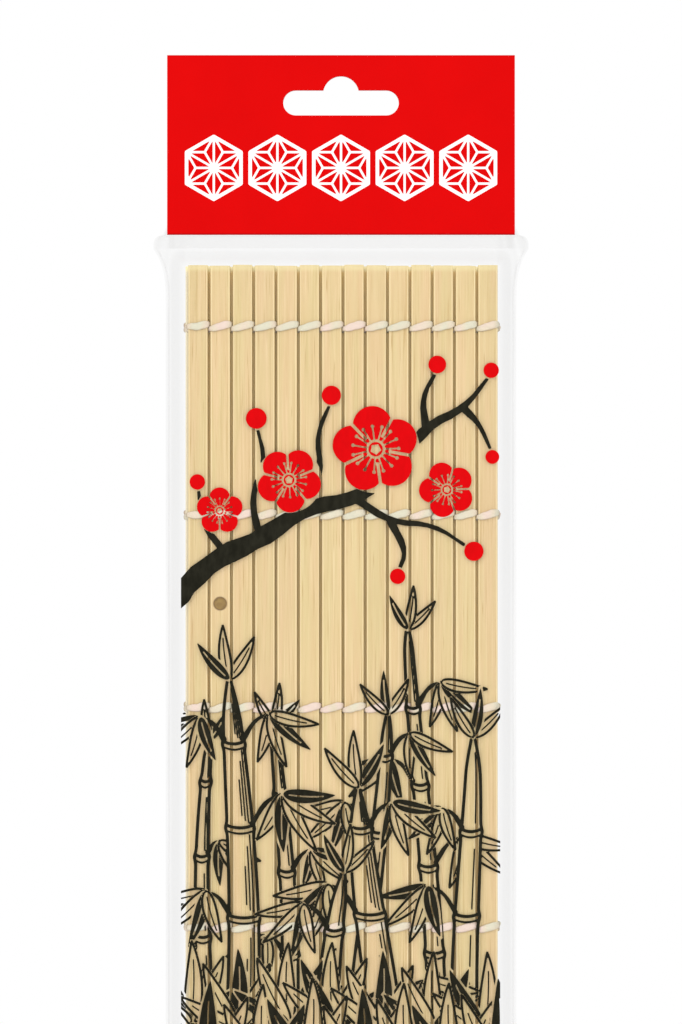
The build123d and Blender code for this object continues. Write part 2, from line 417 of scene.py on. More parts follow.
def film_material():
    """Clear film: almost unseen face on, milky where it turns away or is welded."""
    nodes = Nodes("clear_film")
    place = nodes.rest()
    facing = nodes.add("ShaderNodeLayerWeight")
    nodes.feed(facing.inputs["Blend"], 0.35)
    haze = nodes.noise(place, (90, 90, 25), 3.0, 0.55)
    alpha = nodes.plus(0.025, nodes.times(facing.outputs["Facing"], 0.06))
    alpha = nodes.plus(alpha, nodes.times(nodes.share(), 0.2))
    alpha = nodes.plus(alpha, nodes.range(haze, 0.45, 0.75, 0.0, 0.015))
    colour = nodes.ramp(haze, (0.3, (0.275, 0.272, 0.262)), (0.7, (0.315, 0.313, 0.305)))
    nodes.set(Base_Color=colour, Alpha=alpha, Roughness=0.14, IOR=1.49)
    nodes.bump(nodes.noise(place, (500, 500, 220)), 0.15, 0.05 * MM)
    return nodes.material


def ink_material(name, dark, light, smoothest):
    """Printed ink with the uneven cover of a screen print."""
    nodes = Nodes(name)
    cover = nodes.noise(nodes.rest(), (700, 700, 300), 4.0, 0.6)
    roughness = nodes.range(cover, 0.3, 0.7, smoothest, smoothest + 0.12)
    colour = nodes.ramp(cover, (0.35, dark), (0.68, light))
    nodes.set(Base_Color=colour, Roughness=roughness, Specular_IOR_Level=0.02)
    return nodes.material


def floor_material():
    nodes = Nodes("pale_floor")
    speck = nodes.noise(nodes.own(), (40, 40, 40), 3.0)
    colour = nodes.ramp(speck, (0.3, (0.885, 0.885, 0.885)), (0.7, (0.895, 0.895, 0.895)))
    nodes.set(Base_Color=colour, Roughness=0.8, Specular_IOR_Level=0.1)
    return nodes.material


# Camera, light and floor

PICTURE_WIDTH = 682
PICTURE_HEIGHT = 1024
PIXELS_PER_METRE = 3840.0
ORIGIN_PIXEL = (341, 75)
LENS = 120.0
SENSOR = 36.0
FLOOR_RADIUS = 0.32
FLOOR_POINTS = 96
LIT_PLACE = (0, 0, -0.13)
# Area lights: name, place, width and height in metres, and power
LIGHTS = (
    ("key", (-0.75, -1.1, 0.55), (0.5, 0.5), 4.0),
    ("front", (0.03, -1.25, -0.1), (0.32, 0.9), 5.5),
    ("side", (0.9, -0.8, -0.05), (0.08, 0.9), 1.2),
)


def make_camera():
    data = bpy.data.cameras.new("camera")
    data.lens = LENS
    data.sensor_width = SENSOR
    data.clip_start = 0.05
    data.clip_end = 20.0
    camera = link("camera", data)
    distance = PICTURE_HEIGHT / PIXELS_PER_METRE * LENS / SENSOR
    middle_x = (PICTURE_WIDTH / 2 - ORIGIN_PIXEL[0]) / PIXELS_PER_METRE
    middle_z = (ORIGIN_PIXEL[1] - PICTURE_HEIGHT / 2) / PIXELS_PER_METRE
    camera.location = (middle_x, (slat_low.y + card_low.y) / 2 - distance, middle_z)
    camera.rotation_euler = (pi / 2, 0, 0)
    bpy.context.scene.camera = camera


def make_light(name, place, size, power):
    data = bpy.data.lights.new(name, "AREA")
    data.shape = "RECTANGLE"
    data.size, data.size_y = size
    data.energy = power
    light = link(name, data)
    light.location = place
    light.rotation_euler = (Vector(LIT_PLACE) - Vector(place)).to_track_quat("-Z", "Y").to_euler()


def make_studio():
    """A white world, soft lights, and a round pale floor under the bag."""
    world = bpy.data.worlds.new("studio")
    world.use_nodes = True
    background = world.node_tree.nodes["Background"]
    background.inputs["Color"].default_value = (1.0, 1.0, 1.0, 1.0)
    background.inputs["Strength"].default_value = 1.0
    bpy.context.scene.world = world
    bpy.context.scene.view_settings.view_transform = "Standard"
    for light in LIGHTS:
        make_light(*light)
    turns = [2 * pi * i / FLOOR_POINTS for i in range(FLOOR_POINTS)]
    points = [(FLOOR_RADIUS * cos(turn), FLOOR_RADIUS * sin(turn), film_low.z) for turn in turns]
    mesh = bpy.data.meshes.new("floor")
    mesh.from_pydata(points, [], [tuple(range(FLOOR_POINTS))])
    mesh.materials.append(floor_material())
    floor = link("floor", mesh)


# Film

SEAM_Y = 0.08 * MM
BAG_Y = 5.2 * MM
# Where the film turns over the mat's side, and slopes down to its flat margin
TURN_X = (40.2 * MM, 41.2 * MM)
SHOULDER_X = 41.8 * MM
FOOT_X = 44.6 * MM
SIDE_X = 45.8 * MM
BAG_EDGE = film_high.x
MOUTH_TOP = CARD_BOTTOM + 24 * MM
BAND_BOTTOM = CARD_BOTTOM - 3.8 * MM
FULL_TOP = MAT_TOP + 0.3 * MM
FULL_BOTTOM = MAT_BOTTOM - 0.4 * MM
SEAL_TOP = film_low.z + 5.0 * MM
EAR_RADIUS = 2.4 * MM
FLARE_HEIGHT = 16.0 * MM
# How sharply the film's edge comes in from its ears and from its seal
EAR_BEND = 3.6
SEAL_BEND = 2.2
# How deep the film's waves, side folds, slack, gathers, puckers and seal ribs are
WAVE = 0.05 * MM
FOLD = 0.55 * MM
SLACK = 0.22 * MM
GATHER = 0.16 * MM
PUCKER = 0.30 * MM
RIB = 0.05 * MM
RIB_PITCH = 1.0 * MM
# The gathers, from the ears to the corners of the mat
GATHER_STEP = 1.15 * MM
GATHER_START_X = 39 * MM
GATHER_FADE_X = (40 * MM, 43.5 * MM)
GATHER_FULL = MAT_TOP - 4 * MM
GATHER_END = MAT_TOP - 22 * MM
GATHER_SLANT = 0.35
# How milky the film is in its parts, as shares of the haziest film, and where it turns so
SEAM_HAZE = 0.72
MARGIN_HAZE = 0.24
TOP_HAZE = 0.15
BAND_HAZE = 0.62
EAR_HAZE = 0.34
SEAL_HAZE = 0.5
SEAM_INSET = 0.85 * MM
SEAM_REACH = 0.5 * MM
MARGIN_FADE_X = (39.9 * MM, 40.7 * MM)
TOP_FADE = (MAT_TOP - 0.9 * MM, MAT_TOP - 0.1 * MM)
EAR_FADE_X = (card_high.x + 0.3 * MM, card_high.x - 0.3 * MM)
RIM_FADE = (-0.5 * MM, 0.7 * MM)
# Stretches of the film from the top down, each with its count of rows
ROW_SPANS = (
    (MOUTH_TOP, CARD_BOTTOM + 0.02 * MM, 6),
    (CARD_BOTTOM, BAND_BOTTOM, 8),
    (BAND_BOTTOM, FULL_TOP - 1 * MM, 14),
    (FULL_TOP - 1 * MM, MAT_TOP - 24 * MM, 24),
    (MAT_TOP - 24 * MM, FULL_BOTTOM + 12 * MM, 90),
    (FULL_BOTTOM + 12 * MM, SEAL_TOP, 22),
    (SEAL_TOP, film_low.z, 20),
)
MARGIN_SHARES = (0.2, 0.4, 0.6, 0.75, 0.9, 1.0)


def film_edge(z):
    """Half width of the film at a height: wide at the ears and at the bottom seal."""
    if z > CARD_BOTTOM + 0.01 * MM:
        return FOOT_X
    if z > BAND_BOTTOM:
        above = min(max(z - (CARD_BOTTOM - EAR_RADIUS), 0), EAR_RADIUS)
        return BAG_EDGE - EAR_RADIUS + sqrt(EAR_RADIUS**2 - above**2)
    share = min((BAND_BOTTOM - z) / FLARE_HEIGHT, 1)
    upper = SIDE_X + (BAG_EDGE - SIDE_X) * (1 - share) ** EAR_BEND
    share = min(max((z - SEAL_TOP) / FLARE_HEIGHT, 0), 1)
    lower = SIDE_X + (BAG_EDGE - SIDE_X) * (1 - share) ** SEAL_BEND
    return max(upper, lower)


def film_rise(x, z, turn):
    """How far a film stands off the middle of the bag. turn makes the two films differ."""
    if z > CARD_BOTTOM:
        return SEAM_Y
    wide = abs(x)
    slope = smooth(SHOULDER_X, FOOT_X, wide)
    across = 1 - slope
    along = smooth(BAND_BOTTOM, FULL_TOP, z) * smooth(SEAL_TOP, FULL_BOTTOM, z)
    rise = SEAM_Y + (BAG_Y - SEAM_Y) * across * along
    rise += WAVE * ripple(x * 70, turn * 9.0, z * 45) * across * along
    fold = 4 * across * (1 - across)
    rise += FOLD * ripple(x * 420, turn * 5.0 + 3.0, z * 30) * fold * along
    margin = slope * smooth(BAG_EDGE, SIDE_X, wide)
    rise += SLACK * abs(ripple(x * 600, turn * 7.0, z * 18)) * margin
    if GATHER_END < z < CARD_BOTTOM:
        run = wide - GATHER_START_X + (z - MAT_TOP) * GATHER_SLANT
        gather = 1 + sin(run / GATHER_STEP) * smooth(*GATHER_FADE_X, wide)
        rise += GATHER * gather * smooth(GATHER_END, GATHER_FULL, z)
    pucker = ripple(x * 230, turn * 3.0 + 1.0, z * 60)
    rise += PUCKER * pucker * 4 * along * (1 - along) * across
    if z < SEAL_TOP:
        rise += RIB * (1 + sin(2 * pi * z / RIB_PITCH))
    return rise


def film_haze(x, z):
    """How milky the film is: at the side seams, the bottom seal and the band under the card."""
    wide = abs(x)
    inset = film_edge(z) - wide
    seam = SEAM_HAZE * max(0.0, 1 - abs(inset - SEAM_INSET) / SEAM_REACH)
    above = TOP_HAZE * smooth(*TOP_FADE, z)
    margin = 0.0 if z > BAND_BOTTOM else MARGIN_HAZE * smooth(*MARGIN_FADE_X, wide)
    ear = smooth(*EAR_FADE_X, wide)
    band = EAR_HAZE + (BAND_HAZE - EAR_HAZE) * ear if BAND_BOTTOM < z < CARD_BOTTOM else 0.0
    seal = SEAL_HAZE if z < SEAL_TOP else 0.0
    return max(seam, margin, above, band, seal) * smooth(*RIM_FADE, inset)


def film_rows():
    """Heights of the film's rows, close together where it bends."""
    rows = []
    for high, low, count in ROW_SPANS:
        rows += list(np.linspace(high, low, count, endpoint=False))
    return rows + [film_low.z]


def film_columns(strip, z):
    """Places of a row's points across one strip."""
    left, right = strip_edges(strip)
    if left is not None and right is not None:
        return list(np.linspace(left, right, 7))
    inner = mid_x[0] if left is None else mid_x[-1]
    side = -1 if left is None else 1
    edge = film_edge(z)
    wall = [inner] + [side * x for x in (*TURN_X, *np.linspace(SHOULDER_X, FOOT_X, 9))]
    wall = [x if abs(x) < edge else side * edge for x in wall]
    wall += [side * (FOOT_X + (edge - FOOT_X) * share) for share in MARGIN_SHARES]
    return sorted(wall)


def make_film(name, node, side, material):
    """One web of the bag in strips, in front (side -1) or behind (side 1)."""
    rows = film_rows()
    for strip in range(COLUMNS + 1):
        points, faces, shares = [], [], []
        for z in rows:
            for x in film_columns(strip, z):
                points.append((x, side * film_rise(x, z, side), z))
                shares.append(film_haze(x, z))
        width = len(points) // len(rows)
        for row in range(len(rows) - 1):
            for i in range(width - 1):
                corner = row * width + i
                face = (corner, corner + 1, corner + 1 + width, corner + width)
                faces.append(face if side > 0 else face[::-1])
        piece = make_piece(f"{name}_{strip:02d}", points, faces, material, shares)
        attach(piece, strip, [node])


# Threads

THREAD_HALF_WIDTH = 0.98 * MM
THREAD_HALF_DEPTH = 0.33 * MM
CROSSING = 0.58 * MM
THREAD_RISE = 1.36 * MM
THREAD_DRIFT = 0.12 * MM
TWIST_LENGTH = 7.0 * MM
PLIES = 3
RING_SIDES = 18
# Exponent of the yarn's flattened outline: 2 is an ellipse
SQUARENESS = 2.6
# Shares of the way between the middle of a slat and a gap
HALF_STEPS = (0.0, 0.14, 0.28, 0.42, 0.55, 0.67, 0.77, 0.86, 0.93, 0.975, 1.0)

TUBE_SIDES = 10
KNOT_X = knot_x - 0.28 * MM
KNOT_SIZE = 0.20 * MM
KNOT_YARN = 0.25 * MM
KNOT_STEPS = 48
TAIL_STEPS = 14
TAIL_LENGTH = 4.5 * MM
TAIL_Y = layer_y[2] + 1.34 * MM
CORNER_REACH = 0.72 * MM
ROUND_SHARE = 0.35


def slat_place(number):
    """Column, layer and way of travel of a slat along the folded mat."""
    layer, step = divmod(number - 1, COLUMNS)
    travel = 1 if layer % 2 == 0 else -1
    return (step + 1 if travel > 0 else COLUMNS - step), layer, travel


def turn_x(layer, way):
    """Where the threads turn at the end of a layer, outside both slats of the fold."""
    layers = [layer, layer + 1] if layer + 1 < len(layer_y) else [layer]
    reach = max(COLUMNS * PITCH / 2 + way * layer_shift[each] for each in layers)
    return MAT_MIDDLE + way * reach


def half_stitch(middle, gap, share):
    """A point on the way from the middle of a slat, level at first, then steep into the gap."""
    drop = 1 - sqrt(max(0.0, 1 - share**4))
    return Vector((
        middle.x + (gap.x - middle.x) * share,
        middle.y + (gap.y - middle.y) * drop,
        middle.z + (gap.z - middle.z) * sin(share * pi / 2),
    ))


def yarn_size(share, arriving, seed):
    """Half width and half depth of the yarn, a leaf shape, and how much painted shade it gets all
    round, more towards the gap.
    """
    wide = 1 - 0.45 * share**2.2 if arriving else 1 + 0.06 * sin(share * pi) - 0.40 * share**5
    swell = 1 + 0.10 * ripple(seed, share * 1.5, 2.0)
    deep = 1 - 0.16 * share**3
    return THREAD_HALF_WIDTH * wide * swell, THREAD_HALF_DEPTH * deep, smooth(0.84, 1.0, share)


def strand_line(first_side, z, seed):
    """The line of one strand: its places, their size and painted shade, and the strip that follows.
    """
    line = []
    side = first_side
    gap = Vector((mid_x[0] - PITCH / 2, layer_y[0], z))
    for number in range(1, len(layer_y) * COLUMNS + 1):
        place, layer, travel = slat_place(number)
        drift = THREAD_DRIFT * ripple(number * 1.7, seed, 0.5)
        y = layer_y[layer] - travel * side * THREAD_RISE
        middle = Vector((mid_x[place - 1] + layer_shift[layer], y, z + drift))
        crossing_z = z + CROSSING * side
        if number % COLUMNS:
            after = Vector((middle.x + travel * PITCH / 2, layer_y[layer], crossing_z))
        elif layer + 1 < len(layer_y):
            fold_y = (layer_y[layer] + layer_y[layer + 1]) / 2
            after = Vector((turn_x(layer, travel), fold_y, crossing_z))
        else:
            after = Vector((KNOT_X, layer_y[layer], z + 0.4 * (crossing_z - z)))
        strips = (place - 1, place)[::travel]
        for share in HALF_STEPS[:0:-1]:
            size = yarn_size(share, True, seed + number)
            line.append((half_stitch(middle, gap, share), size, strips[0]))
        for share in HALF_STEPS[:-1]:
            size = yarn_size(share, False, seed + number)
            line.append((half_stitch(middle, after, share), size, strips[1]))
        gap = after
        side = -side
    line.append((gap, yarn_size(1.0, False, seed), COLUMNS))
    return line


def yarn_ring(before, here, after, size, turn):
    """Points round a flattened yarn whose plies wind round it."""
    along = (after - before).normalized()
    up = Vector((0, 0, 1))
    wide_way = (up - along * up.dot(along)).normalized()
    deep_way = along.cross(wide_way)
    points = []
    for k in range(RING_SIDES):
        angle = 2 * pi * k / RING_SIDES
        ply = 0.94 + 0.10 * abs(cos(PLIES * angle / 2 + turn))
        outline = abs(cos(angle)) ** SQUARENESS + abs(sin(angle)) ** SQUARENESS
        across = wide_way * (size[0] * cos(angle)) + deep_way * (size[1] * sin(angle))
        points.append(tuple(here + across * (ply * outline ** (-1 / SQUARENESS))))
    return points


def ring_painted_shade(least):
    """How much painted shade the points of a ring get, most along the lower edge of the yarn."""
    heights = [cos(2 * pi * k / RING_SIDES) for k in range(RING_SIDES)]
    return [max(least, smooth(-0.66, -0.98, height)) for height in heights]


def ring_faces(first, second, sides=RING_SIDES):
    """Faces between two rings that start at these point numbers."""
    corners = [(k, (k + 1) % sides) for k in range(sides)]
    return [(first + k, first + after, second + after, second + k) for k, after in corners]


def make_threads(material):
    """All courses of twined thread, cut into strips in the middle of the slats."""
    batches = [([], [], []) for _ in range(COLUMNS + 1)]
    for course, z in enumerate(course_z):
        for first_side in (1, -1):
            line = strand_line(first_side, z, 31.0 * course + 7.0 * first_side)
            turn = course + first_side
            rings = []
            for i, (here, size, _) in enumerate(line):
                before, after = line[max(i - 1, 0)][0], line[min(i + 1, len(line) - 1)][0]
                turn += (here - before).length / TWIST_LENGTH * PLIES * pi
                rings.append((yarn_ring(before, here, after, size, turn), ring_painted_shade(size[2])))
            last_strip = None
            for i, (_, _, strip) in enumerate(line[:-1]):
                points, faces, shares = batches[strip]
                for ring, painted_shade in rings[i + (strip == last_strip):i + 2]:
                    points += ring
                    shares += painted_shade
                faces += ring_faces(len(points) - 2 * RING_SIDES, len(points) - RING_SIDES)
                last_strip = strip
    for strip, (points, faces, shares) in enumerate(batches):
        piece = make_piece(f"threads_{strip:02d}", points, faces, material, shares)
        attach(piece, strip, THREAD_NODES)


def tube(points, faces, line):
    """Adds a closed twisted yarn along a line, with frames carried along it."""
    turn = 0.0
    across = None
    for i, here in enumerate(line):
        before, after = line[max(i - 1, 0)], line[min(i + 1, len(line) - 1)]
        along = (after - before).normalized()
        if across is None:
            across = along.orthogonal().normalized()
        across = (across - along * across.dot(along)).normalized()
        turn += (here - before).length / TWIST_LENGTH * 2 * PLIES * pi
        other = along.cross(across)
        start = len(points)
        for k in range(TUBE_SIDES):
            angle = 2 * pi * k / TUBE_SIDES
            radius = KNOT_YARN * (0.92 + 0.12 * abs(cos(PLIES * angle / 2 + turn)))
            points.append(tuple(here + across * radius * cos(angle) + other * radius * sin(angle)))
        if i > 0:
            faces += ring_faces(start - TUBE_SIDES, start, TUBE_SIDES)
        else:
            faces.append(tuple(range(start, start + TUBE_SIDES))[::-1])
    faces.append(tuple(range(len(points) - TUBE_SIDES, len(points))))


def knot_tail(course, way, z):
    """A tail that goes round the last slat's edge and lies flat behind the mat."""
    length = TAIL_LENGTH * (1 + 0.3 * ripple(course * 3.3, way, 1.0))
    line = []
    for step in range(TAIL_STEPS):
        share = step / (TAIL_STEPS - 1)
        turn = min(share / ROUND_SHARE, 1.0) * pi / 2
        run = max(share - ROUND_SHARE, 0.0) / (1 - ROUND_SHARE) * length
        line.append(Vector((
            KNOT_X - CORNER_REACH * (1 - cos(turn)) - 0.7 * run,
            knot_y + (TAIL_Y - knot_y) * sin(turn),
            z + way * KNOT_YARN - (0.55 - 0.3 * way) * run,
        )))
    return line


def make_knots(material):
    """Small overhand knots at the end of each course, their two tails tucked behind the mat."""
    points, faces = [], []
    for course, z in enumerate(course_z):
        middle = Vector((KNOT_X, knot_y, z))
        loop = []
        for step in range(KNOT_STEPS + 1):
            t = 2 * pi * step / KNOT_STEPS
            trefoil = (0.55 * (sin(t) + 2 * sin(2 * t)), -1.3 * sin(3 * t), cos(t) - 2 * cos(2 * t))
            loop.append(middle + KNOT_SIZE * Vector(trefoil))
        tube(points, faces, loop)
        for way in (-1, 1):
            tube(points, faces, knot_tail(course, way, z))
    piece = make_piece("knots", points, faces, material)
    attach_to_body(piece, column(COLUMNS))
    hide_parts("thread_knots")


# Prints, drawn as distances on a grid, in millimetres: ink lies where the distance is negative

INK_LIFT = 0.03 * MM
# Steps of the grid in one column, and past the middles of the two outer columns
CELLS = 24
LEFT_CELLS = 18
RIGHT_CELLS = 13
LINE = 0.42
FINE_LINE = 0.20
MIDRIB_LINE = 0.19
NO_INK = 9.0


class Print:
    """A grid over the mat's width, whose lines meet the edges of the strips."""

    def __init__(self, low, high):
        step = PITCH / CELLS
        count = LEFT_CELLS + (COLUMNS - 1) * CELLS + RIGHT_CELLS + 1
        self.x = (mid_x[0] + (np.arange(count) - LEFT_CELLS) * step) / MM
        self.z = np.arange(low, high, step / MM)
        self.ink = np.full((len(self.z), count), NO_INK)

    def window(self, x, z, reach):
        """The part of the grid within reach of a place, and the offsets from it."""
        columns = np.nonzero(np.abs(self.x - x) <= reach)[0]
        rows = np.nonzero(np.abs(self.z - z) <= reach)[0]
        if not len(columns) or not len(rows):
            return None
        part = (slice(rows[0], rows[-1] + 1), slice(columns[0], columns[-1] + 1))
        across, up = np.meshgrid(self.x[part[1]] - x, self.z[part[0]] - z)
        return part, across, up

    def add(self, part, distance):
        self.ink[part] = np.minimum(self.ink[part], distance)

    def clear(self, part, distance):
        self.ink[part] = np.maximum(self.ink[part], -distance)

    def stroke(self, points, widths):
        """A brush line through points, with a half width at each."""
        for (x0, z0), (x1, z1), first, second in zip(points, points[1:], widths, widths[1:]):
            length = hypot(x1 - x0, z1 - z0)
            reach = length / 2 + max(first, second) + 1
            found = self.window((x0 + x1) / 2, (z0 + z1) / 2, reach)
            if found is None:
                continue
            part, across, up = found
            across, up = across + (x1 - x0) / 2, up + (z1 - z0) / 2
            share = np.clip((across * (x1 - x0) + up * (z1 - z0)) / length**2, 0, 1)
            away = np.hypot(across - (x1 - x0) * share, up - (z1 - z0) * share)
            self.add(part, away - (first + (second - first) * share))

    def strip_mesh(self, strip):
        """Points and faces of the inked area in one strip."""
        first = 0 if strip == 0 else LEFT_CELLS + (strip - 1) * CELLS
        last = len(self.x) - 1 if strip == COLUMNS else LEFT_CELLS + strip * CELLS
        ink = self.ink[:, first:last + 1]
        inside = ink < 0
        touched = inside[:-1, :-1] | inside[1:, :-1] | inside[:-1, 1:] | inside[1:, 1:]
        numbers, points, faces = {}, [], []

        def number(kind, j, i, x, z):
            key = (kind, j, i)
            if key not in numbers:
                numbers[key] = len(points)
                points.append((x, z))
            return numbers[key]

        for j, i in np.argwhere(touched):
            corners = ((j, i), (j, i + 1), (j + 1, i + 1), (j + 1, i))
            face = []
            for (j0, i0), (j1, i1) in zip(corners, corners[1:] + corners[:1]):
                value, after = ink[j0, i0], ink[j1, i1]
                x, z = self.x[first + i0], self.z[j0]
                if value < 0:
                    face.append(number("corner", j0, i0, x, z))
                if (value < 0) != (after < 0):
                    share = min(max(value / (value - after), 0.02), 0.98)
                    kind = "level" if j0 == j1 else "upright"
                    cross_x = x + (self.x[first + i1] - x) * share
                    cross_z = z + (self.z[j1] - z) * share
                    face.append(number(kind, min(j0, j1), min(i0, i1), cross_x, cross_z))
            if len(face) > 2:
                faces.append(face)
        return points, faces

    def make(self, name, surface, material, slot_name):
        """A piece of thin ink per strip, lying on a surface that gives y from x and z."""
        for strip in range(COLUMNS + 1):
            flat, faces = self.strip_mesh(strip)
            if not faces:
                continue
            points = [(x * MM, surface(x * MM, z * MM) - INK_LIFT, z * MM) for x, z in flat]
            piece = make_piece(f"{name}_{strip:02d}", points, faces, material)
            attach(piece, strip)


def turned(across, up, angle):
    """Offsets measured along a direction and beside it."""
    return across * cos(angle) + up * sin(angle), up * cos(angle) - across * sin(angle)


def bar(along, beside, middle, reach, width):
    """The distance from a bar round a middle, with half a length and half a width."""
    return np.maximum(np.abs(beside) - width, np.abs(along - middle) - reach)


def draw_leaf(paper, x, z, angle, length, width, filled):
    """A bamboo leaf that points along an angle in degrees, solid or in outline with a midrib."""
    way = radians(angle)
    half_x, half_z = cos(way) * length / 2, sin(way) * length / 2
    found = paper.window(x + half_x, z + half_z, length / 2 + width)
    if found is None:
        return
    part, across, up = found
    along, beside = turned(across + half_x, up + half_z, way)
    share = np.clip(along / length, 0, 1)
    beside = beside + width * 0.6 * share * (1 - share) * (1 if cos(way) > 0 else -1)
    half = width / 2 * np.sin(pi * share**0.66) ** 0.8
    shape = bar(along, beside, length / 2, length / 2, half)
    rib = bar(along, beside, length * 0.44, length * 0.34, MIDRIB_LINE)
    paper.clear(part, shape - 0.5)
    if filled:
        paper.add(part, shape)
        paper.clear(part, rib)
    else:
        paper.add(part, np.abs(shape) - LINE * 0.75)
        paper.add(part, rib)


def draw_leaves(paper, x, z, heading, spread, size, count, seed):
    """A fan of leaves that leaves a twig's end about a heading in degrees."""
    for i in range(count):
        off = i - (count - 1) / 2
        angle = heading + off * spread + 10 * ripple(seed, i * 2.1, 4.0)
        length = size * (1 - 0.10 * abs(off) + 0.16 * ripple(seed, i, 9.0))
        draw_leaf(paper, x, z, angle, length, size * 0.21, (i + int(seed)) % 3 == 0)


# Stems: place at the bottom, lean, half width and top, in millimetres, from back to front
PRINT_LOW = -288.0
PRINT_FOOT = -276.6
PRINT_TOP = -70.0
BRANCH_FOOT = -136.0
CULMS = (
    (-36.5, 3, 2.2, -172), (25, -6, 2.6, -143), (3.5, 7, 2.8, -165), (-13.5, -3, 2.4, -168),
    (-26, -2, 4.6, -156), (34.5, -2, 3.8, -171), (13, -7, 5, -184), (-4.5, 5, 3.4, -206),
)
# Shading lines of wide and thin stems, as shares: place across, and start and end between rings
WIDE_SHADING = ((0.22, 0.14, 0.58), (0.46, 0.08, 0.80), (0.69, 0.05, 0.93))
THIN_SHADING = ((0.42, 0.08, 0.80),)
WIDE_CULM = 4.0
# Leaf fans: stem, joint, side, twig length, leaf length and number of leaves
FANS = (
    (0, 3, 1, 3, 13, 3), (1, 5, 1, 6, 14, 4), (1, 4, -1, 6, 15, 4), (1, 3, 1, 7, 16, 4),
    (2, 4, 1, 5, 13, 3), (2, 3, -1, 7, 15, 4), (3, 3, 1, 5, 13, 4), (3, 2, -1, 4, 13, 3),
    (4, 5, 1, 7, 15, 4), (4, 4, -1, 6, 14, 4), (4, 3, 1, 8, 17, 5), (4, 2, -1, 6, 16, 4),
    (5, 4, -1, 5, 13, 4), (5, 2, -1, 7, 16, 4), (6, 3, 1, 6, 15, 4), (6, 2, -1, 7, 17, 4),
    (6, 1, 1, 7, 17, 4), (7, 2, -1, 6, 15, 4), (7, 1, 1, 5, 15, 4),
)
# Rows of bamboo grass at the foot of the stems: height, first place and leaf length
GRASS_ROWS = ((-248, -39, 21), (-260, -33, 24), (-274, -38, 25))
GRASS_STEP = 12.5
GRASS_COUNT = 7
# Plum branch: points and half widths of the bough, and the twigs that leave it
BOUGH = ((-44, -137), (-33, -126), (-21, -121), (-9, -112.5), (4, -110.5),
         (14, -103), (22, -91.5), (32, -87), (38.5, -78.5))
BOUGH_WIDTHS = (3, 2.5, 2.5, 1.9, 1.9, 1.4, 1.3, 0.9, 0.35)
TWIGS = (
    ((-21, -121), (-23.5, -110), (-19.5, -101), (-22, -91)),
    ((-9, -112.5), (-5, -103), (-6.5, -94), (-2.5, -85)),
    ((4, -110.5), (13, -116.5), (24, -117), (33, -123)),
    ((22, -91.5), (21, -84), (25, -77)),
    ((-30, -124.5), (-36, -117), (-37, -108)),
    ((13, -116.5), (17, -124), (15, -129)),
    ((32, -87), (36, -91), (39, -98)),
)
# Plum blossoms: centre, radius and turn in degrees. Buds: centre and radius
BLOSSOMS = (
    (9, -97.5, 11.5, 8), (-13.5, -105.5, 8.6, 40), (27.5, -108, 7.4, 20), (-31.5, -113.5, 6.2, 0),
)
BUDS = ((-22, -89.5, 2.7), (-2.5, -83.5, 2.5), (25, -75.5, 2.3), (39, -77, 2),
        (34.5, -124, 2.5), (-37.3, -106, 2), (14.7, -130.5, 2), (39.3, -99.5, 1.8))
PETALS = 5
STAMEN_ANGLES = (-24, 0, 24)
# How much black is cleared under a blossom and round a bud, and how far past them to look
BLOSSOM_CLEAR = 0.99
BUD_RIM = 0.4
FLOWER_REACH = 3


def culm_middle(culm, z):
    """Middle of a bamboo stem at a height, a leaning and slightly bowed line."""
    base, lean, _, top = culm
    share = (z - PRINT_LOW) / (top - PRINT_LOW)
    return base + lean * share + 1.8 * np.sin(share * pi * 1.5 + base)


def culm_width(culm, z):
    """Half width of a stem, thinner towards its top."""
    share = (z - PRINT_LOW) / (culm[3] - PRINT_LOW)
    return culm[2] * (1 - 0.30 * share - 0.38 * np.maximum(share, 0) ** 5)


def culm_joints(culm):
    """Heights of the rings of a stem, closer together towards its top."""
    base, _, width, top = culm
    heights = []
    z = PRINT_LOW + 9 + (base * 3.7) % 13
    while z < top - 6:
        heights.append(z)
        z += (23 + width * 1.1) * (1 - 0.32 * (z - PRINT_LOW) / (top - PRINT_LOW))
    return heights


def draw_culm(paper, culm):
    """A bamboo stem in line: swollen joints with double rings, and shading down one side."""
    base, _, width, top = culm
    middle_z = (PRINT_LOW + top) / 2
    part, across, up = paper.window(base, middle_z, (top - PRINT_LOW) / 2 + 14)
    z = up + middle_z
    beside = across + base - culm_middle(culm, z)
    half = culm_width(culm, z)
    heights = culm_joints(culm)
    for height in heights:
        half = half + 0.40 * np.exp(-(((z - height) / 1.3) ** 2))
    tip = np.clip((top - z) / (width * 3.0), 0, 1)
    half = half * np.sin(tip * pi / 2) ** 0.75
    shape = np.maximum(np.abs(beside) - half, z - top)
    paper.clear(part, shape - 0.3)
    paper.add(part, np.abs(shape) - LINE)
    for share, first, last in WIDE_SHADING if width > WIDE_CULM else THIN_SHADING:
        for low, high in zip([PRINT_LOW - 6] + heights, heights + [top]):
            start, end = low + (high - low) * first, low + (high - low) * last
            line = np.abs(beside - half * share) - FINE_LINE
            paper.add(part, np.maximum(line, np.maximum(start - z, z - end)))
    for height in heights:
        for rise, line in ((0.8, LINE), (-0.7, LINE * 0.7)):
            bow = height + rise - 0.8 * (1 - (beside / np.maximum(half, 0.1)) ** 2)
            paper.add(part, np.maximum(np.abs(z - bow) - line, np.abs(beside) - half))


